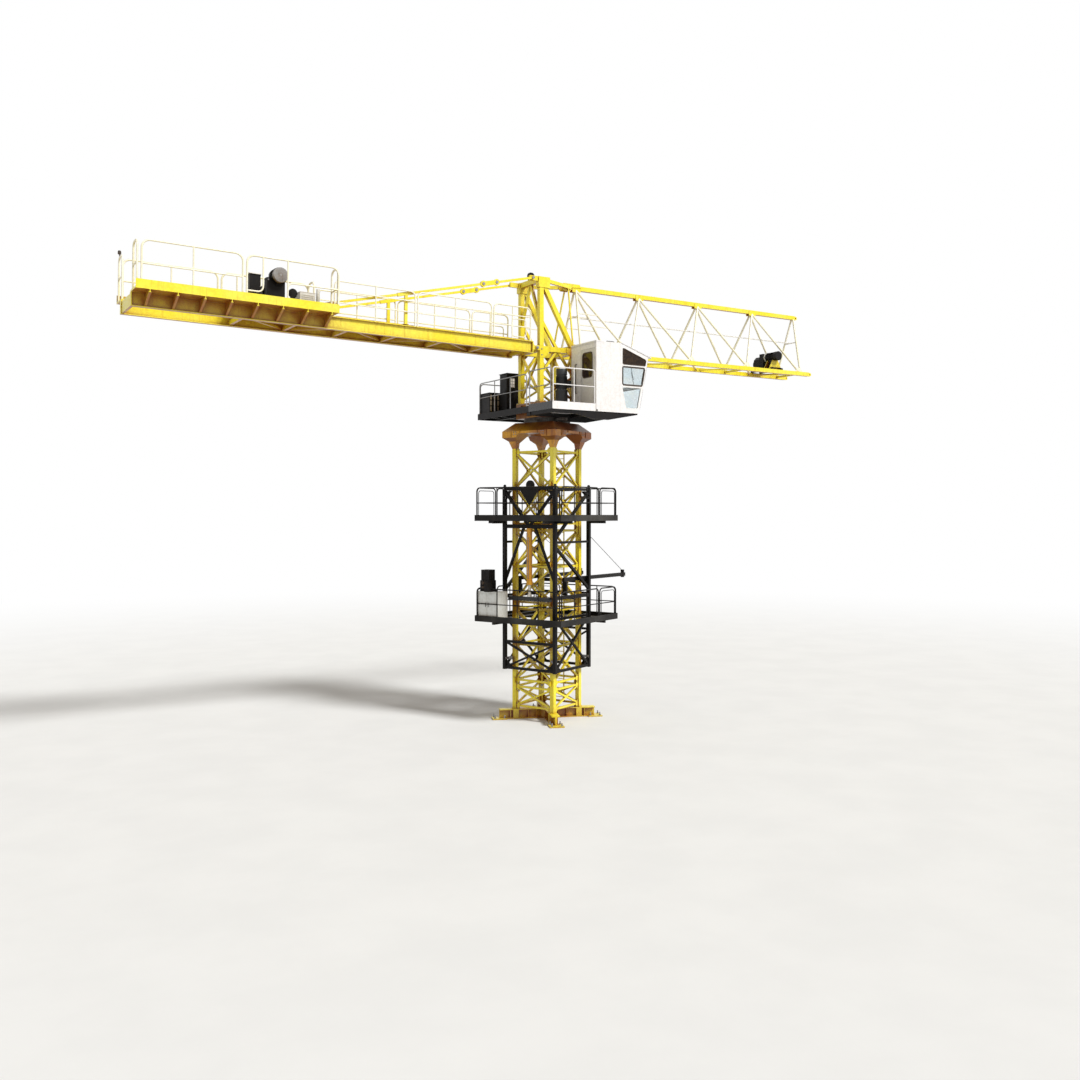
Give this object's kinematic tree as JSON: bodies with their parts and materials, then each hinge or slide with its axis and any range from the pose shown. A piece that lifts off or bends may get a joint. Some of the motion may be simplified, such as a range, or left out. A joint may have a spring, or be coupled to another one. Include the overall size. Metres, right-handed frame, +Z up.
{
  "type": "tower crane",
  "caption": "Small lattice tower crane with a short level jib, a counter-jib with railed platform and winch, a side cab and a climbing frame on the mast.",
  "frame": {"origin": "on the mast's axis at the underside of the base frame", "axes": "+X along the jib, +Z up, the cab on the -Y side"},
  "size_m": [24.063, 4.62, 14.22],
  "materials": {
    "yellow_paint": "gloss",
    "pale_yellow_paint": "gloss",
    "ring_steel": "greased",
    "chrome_rod": "ground",
    "black_paint": "satin",
    "roller_steel": "worn",
    "orange_paint": "gloss",
    "cabinet_paint": "satin",
    "machine_grey": "satin",
    "rope_white": "woven",
    "white_paint": "gloss",
    "door_paint": "satin",
    "glass": "clear",
    "seat_cover": "matt"
  },
  "bodies": {
    "mast": {"base_frame": "yellow_paint", "base_section": "yellow_paint", "mast_section_1": "yellow_paint", "mast_section_2": "yellow_paint", "mast_section_3": "yellow_paint", "mast_lattice_front": "yellow_paint", "mast_lattice_back": "yellow_paint", "mast_lattice_left": "yellow_paint", "mast_lattice_right": "yellow_paint", "mast_ladder": "yellow_paint", "lower_support": "yellow_paint", "slewing_ring": "ring_steel", "climbing_rod": "chrome_rod"},
    "climbing_frame": {"climbing_posts": "black_paint", "climbing_front": "black_paint", "climbing_back": "black_paint", "climbing_left": "black_paint", "climbing_right": "black_paint", "upper_platform": "black_paint", "upper_railing": "black_paint", "lower_platform": "black_paint", "lower_railing": "black_paint", "climbing_cylinder": "orange_paint", "guide_rollers": "roller_steel", "hydraulic_unit": "cabinet_paint", "introduction_beams": "black_paint"},
    "slewing_part": {"slewing_ring_inner": "ring_steel", "seat_floor": "yellow_paint", "upper_seat": "yellow_paint", "service_deck": "black_paint", "deck_railing": "black_paint", "slewing_drive": "machine_grey", "control_cabinets": "black_paint", "tower_frame": "yellow_paint", "tower_side_bracing": "yellow_paint", "tower_cross_bracing": "yellow_paint", "tower_head": "yellow_paint", "top_sheave": "black_paint", "top_link": "yellow_paint", "jib_chords": "yellow_paint", "jib_web_near": "pale_yellow_paint", "jib_web_far": "pale_yellow_paint", "jib_floor_bracing": "yellow_paint", "lifeline": "rope_white", "trolley_winch": "black_paint", "counter_beams": "yellow_paint", "counter_bracing": "yellow_paint", "counter_deck": "yellow_paint", "counter_railing": "pale_yellow_paint", "pendants": "yellow_paint", "hoist_frame": "black_paint", "hoist_cabinet": "cabinet_paint", "cab_shell": "white_paint", "cab_windows": "glass", "cab_seat": "seat_cover", "cab_balcony": "white_paint", "balcony_railing": "white_paint"},
    "hoist_drum": {"hoist_drum": "machine_grey"},
    "cab_door": {"cab_door": "door_paint"}
  },
  "joints": [
    {"name": "climbing_slide", "type": "slide", "parent": "mast", "child": "climbing_frame", "axis": [0, 0, 1], "range_m": [-0.2, 1.1]},
    {"name": "slew", "type": "hinge", "parent": "mast", "child": "slewing_part", "pos_m": [0, 0, 9.5], "axis": [0, 0, 1], "continuous": true},
    {"name": "hoist_turn", "type": "hinge", "parent": "slewing_part", "child": "hoist_drum", "pos_m": [-9.04004, 0, 12.60825], "axis": [0, 1, 0], "continuous": true},
    {"name": "cab_door_swing", "type": "hinge", "parent": "slewing_part", "child": "cab_door", "pos_m": [0.336, -2.157, 10.5], "axis": [0, 0, 1], "range_deg": [0, 90]}
  ]
}
